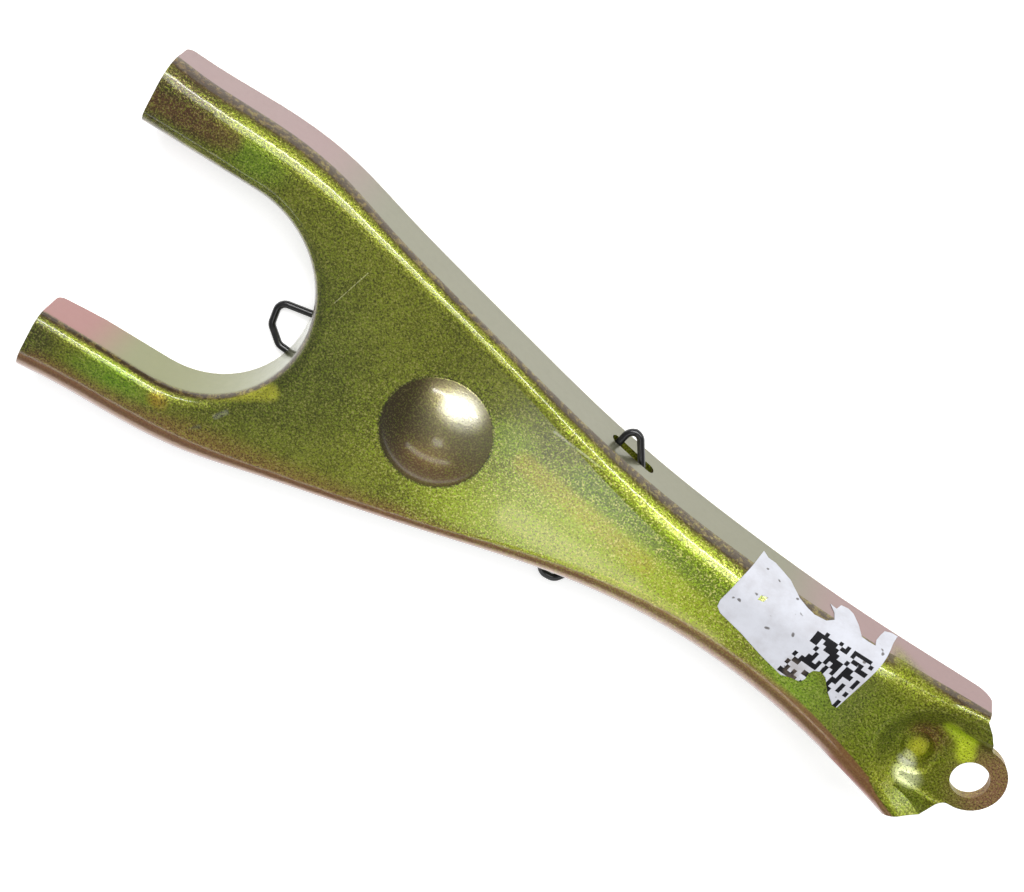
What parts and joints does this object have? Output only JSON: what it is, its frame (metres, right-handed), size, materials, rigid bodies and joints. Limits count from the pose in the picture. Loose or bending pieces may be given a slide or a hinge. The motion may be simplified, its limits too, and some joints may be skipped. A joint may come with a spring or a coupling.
{
  "type": "clutch fork",
  "caption": "Pressed steel clutch fork with a domed pivot cup, open arms, a push-rod pocket, a spring hole and a wire retaining clip.",
  "frame": {"origin": "contact point of the pivot ball at the top of the pivot cup, on the fork's centre line", "axes": "+X towards the push-rod end, +Z out of the domed face, Y across the arms"},
  "size_m": [0.2585, 0.0912, 0.0369],
  "materials": {
    "plated_steel": "yellow zinc plate, satin with a fine sparkle",
    "spring_wire": "glossy black",
    "label_paper": "torn and slightly dirty"
  },
  "bodies": {
    "root": {"fork_body": "plated_steel", "retaining_clip": "spring_wire", "label": "label_paper"}
  },
  "joints": []
}
